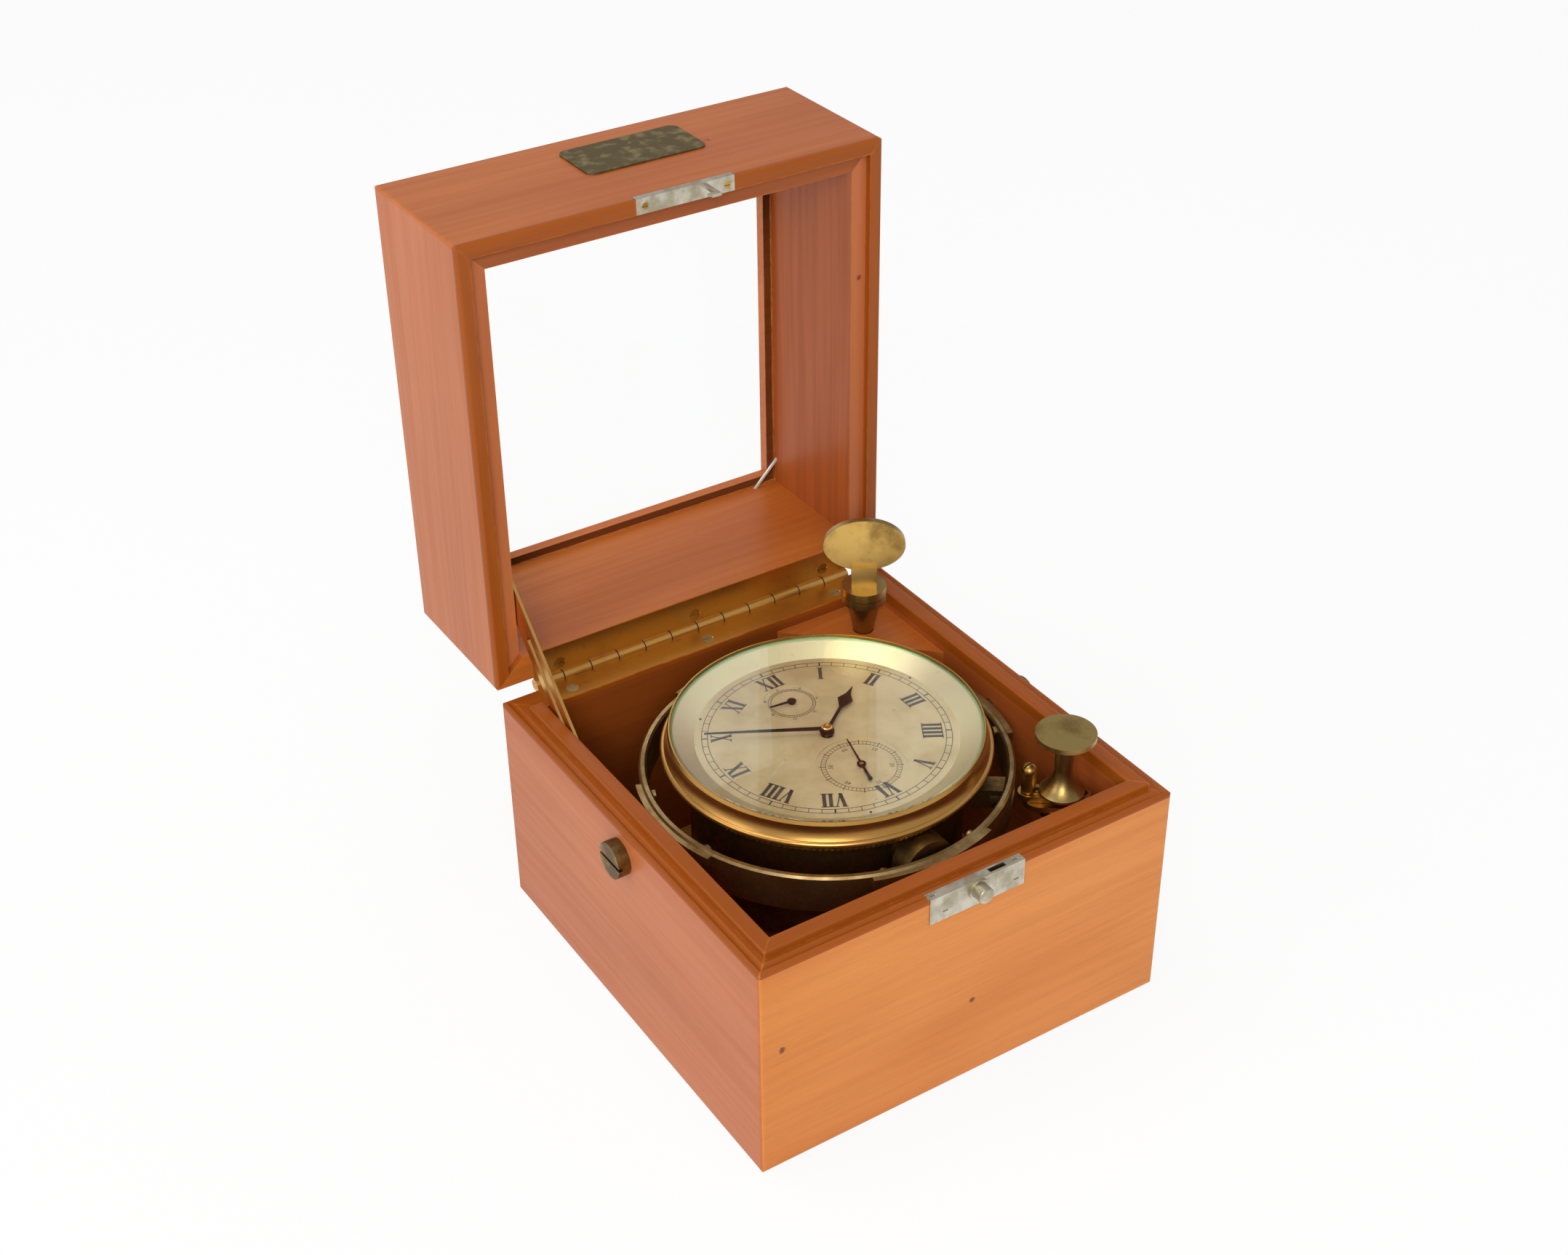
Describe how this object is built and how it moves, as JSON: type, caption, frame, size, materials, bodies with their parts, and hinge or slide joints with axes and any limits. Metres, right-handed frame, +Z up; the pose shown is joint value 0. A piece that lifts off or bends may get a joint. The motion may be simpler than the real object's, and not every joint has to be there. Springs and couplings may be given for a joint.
{
  "type": "marine chronometer",
  "caption": "Marine chronometer in a gimbal ring inside an open wooden box with a glazed lid, push-button lock, gimbal lock and winding key.",
  "frame": {"origin": "centre of the box's footprint on the surface it stands on", "axes": "+X to the box's right seen from the lock side, +Y towards the hinges, +Z up"},
  "size_m": [0.1954, 0.2699, 0.2931],
  "materials": {
    "case_wood": "worn varnish",
    "pane_glass": "clear",
    "crystal_glass": "clear, bevelled edge",
    "white_sprig": "matte",
    "brass": "aged lacquer",
    "dull_plate": "dull",
    "nickel": "dull nickel plate",
    "silvered": "frosted silver",
    "steel": "satin",
    "blued_steel": "blued"
  },
  "bodies": {
    "case": {"base_left_wall": "case_wood", "base_right_wall": "case_wood", "base_front_wall": "case_wood", "base_back_wall": "case_wood", "base_floor": "case_wood", "key_shelf": "case_wood", "lock_block": "case_wood", "hinge_base_leaf": "brass", "hinge_pin": "brass", "base_screws": "brass", "stay_stud": "brass", "lock_plate": "brass", "gimbal_pivot_screws": "brass", "gimbal_lock_bracket": "brass", "gimbal_lock_pins": "brass"},
    "lid": {"lid_left_wall": "case_wood", "lid_right_wall": "case_wood", "lid_front_wall": "case_wood", "lid_back_wall": "case_wood", "lid_top_frame": "case_wood", "lid_glass": "pane_glass", "glazing_sprigs": "white_sprig", "lid_strike_plate": "brass", "name_plate": "dull_plate", "name_plate_pins": "dull_plate", "lid_screws": "brass", "hinge_lid_leaf": "brass", "stay_pivot_screw": "brass"},
    "stay": {"stay_strip": "brass"},
    "lock_button": {"lock_button": "brass"},
    "latch_bolt": {"latch_bolt": "brass"},
    "ring": {"gimbal_ring": "nickel", "gimbal_ring_pads": "nickel", "gimbal_ring_screws": "nickel"},
    "bowl": {"bowl": "brass", "bezel": "brass", "crystal": "crystal_glass", "reflector_ring": "nickel", "dial": "silvered", "pillar_plate": "brass", "top_plate": "brass", "balance_spring": "steel", "balance_cock": "brass"},
    "dust_cover": {"dust_cover": "brass"},
    "seconds": {"fourth_wheel": "brass", "seconds_hand": "blued_steel"},
    "minute": {"centre_wheel": "brass", "minute_hand": "blued_steel"},
    "hour": {"hour_hand": "blued_steel"},
    "third": {"third_wheel": "brass"},
    "escape": {"escape_wheel": "brass"},
    "fusee": {"fusee": "brass"},
    "barrel": {"barrel": "brass"},
    "power": {"power_hand": "blued_steel"},
    "balance": {"balance": "brass"},
    "detent": {"detent": "steel"},
    "lock_arm": {"gimbal_lock_arm": "brass"},
    "lock_knob": {"gimbal_lock_knob": "brass"},
    "key": {"key_barrel": "brass"},
    "key_head": {"key_head": "brass"}
  },
  "joints": [
    {"name": "lid_hinge", "type": "hinge", "parent": "case", "child": "lid", "pos_m": [0, 0.0991, 0.0969], "axis": [1, 0, 0], "range_deg": [0, 90]},
    {"name": "stay_swing", "type": "hinge", "parent": "lid", "child": "stay", "pos_m": [-0.0791, 0.1151, 0.1459], "axis": [1, 0, 0], "range_deg": [-45, 0]},
    {"name": "lock_button_press", "type": "slide", "parent": "case", "child": "lock_button", "axis": [0, 1, 0], "range_m": [0, 0.003], "stiffness_N_per_m": 400},
    {"name": "latch_bolt_slide", "type": "slide", "parent": "case", "child": "latch_bolt", "axis": [-1, 0, 0], "range_m": [0, 0.0024]},
    {"name": "ring_tilt", "type": "hinge", "parent": "case", "child": "ring", "pos_m": [0, 0, 0.0836], "axis": [1, 0, 0], "range_deg": [-40, 40]},
    {"name": "bowl_tilt", "type": "hinge", "parent": "ring", "child": "bowl", "pos_m": [0, 0, 0.0836], "axis": [0, 1, 0], "range_deg": [-180, 180]},
    {"name": "dust_cover_turn", "type": "hinge", "parent": "bowl", "child": "dust_cover", "pos_m": [-0.01096, 0.00698, 0.0337], "axis": [0, 0, 1], "range_deg": [0, 75]},
    {"name": "seconds_turn", "type": "hinge", "parent": "bowl", "child": "seconds", "pos_m": [0, -0.0236, 0.092], "axis": [0, 0, 1], "continuous": true},
    {"name": "minute_turn", "type": "hinge", "parent": "bowl", "child": "minute", "pos_m": [0, 0, 0.092], "axis": [0, 0, 1], "continuous": true},
    {"name": "hour_turn", "type": "hinge", "parent": "bowl", "child": "hour", "pos_m": [0, 0, 0.1], "axis": [0, 0, 1], "continuous": true},
    {"name": "third_turn", "type": "hinge", "parent": "bowl", "child": "third", "pos_m": [0.01931, -0.01392, 0.08], "axis": [0, 0, 1], "continuous": true},
    {"name": "escape_turn", "type": "hinge", "parent": "bowl", "child": "escape", "pos_m": [-0.01631, -0.03121, 0.06], "axis": [0, 0, 1], "continuous": true},
    {"name": "fusee_turn", "type": "hinge", "parent": "bowl", "child": "fusee", "pos_m": [-0.02193, 0.01397, 0.07], "axis": [0, 0, 1], "continuous": true},
    {"name": "barrel_turn", "type": "hinge", "parent": "bowl", "child": "barrel", "pos_m": [0.01805, 0.02396, 0.077], "axis": [0, 0, 1], "continuous": true},
    {"name": "power_hand_turn", "type": "hinge", "parent": "bowl", "child": "power", "pos_m": [0, 0.0249, 0.1], "axis": [0, 0, 1], "range_deg": [-150, 150]},
    {"name": "balance_swing", "type": "hinge", "parent": "bowl", "child": "balance", "pos_m": [-0.01101, -0.01929, 0.0535], "axis": [0, 0, 1], "range_deg": [-220, 220], "stiffness_Nm_per_rad": 0.00013},
    {"name": "detent_release", "type": "hinge", "parent": "bowl", "child": "detent", "pos_m": [-0.03658, -0.02063, 0.06], "axis": [0, 0, 1], "range_deg": [0, 4], "stiffness_Nm_per_rad": 0.002},
    {"name": "lock_arm_slide", "type": "slide", "parent": "case", "child": "lock_arm", "axis": [-0.8039, 0.5948, 0], "range_m": [0, 0.0075]},
    {"name": "lock_knob_turn", "type": "hinge", "parent": "case", "child": "lock_knob", "pos_m": [0.067, -0.0628, 0.1], "axis": [0, 0, 1], "range_deg": [0, 180]},
    {"name": "key_lift", "type": "slide", "parent": "case", "child": "key", "axis": [0, 0, -1], "range_m": [-0.06, 0]},
    {"name": "key_head_turn", "type": "hinge", "parent": "key", "child": "key_head", "pos_m": [0.0624, 0.0656, 0.12], "axis": [0, 0, 1], "continuous": true}
  ],
  "couplings": [
    {"joint": "stay_swing", "follows": "lid_hinge", "ratio": -0.5},
    {"joint": "latch_bolt_slide", "follows": "lock_button_press", "ratio": 0.8},
    {"joint": "minute_turn", "follows": "seconds_turn", "ratio": 0.016667},
    {"joint": "hour_turn", "follows": "seconds_turn", "ratio": 0.0013889},
    {"joint": "third_turn", "follows": "seconds_turn", "ratio": -0.125},
    {"joint": "escape_turn", "follows": "seconds_turn", "ratio": -8},
    {"joint": "fusee_turn", "follows": "seconds_turn", "ratio": -0.0027778},
    {"joint": "barrel_turn", "follows": "seconds_turn", "ratio": -0.002}
  ]
}
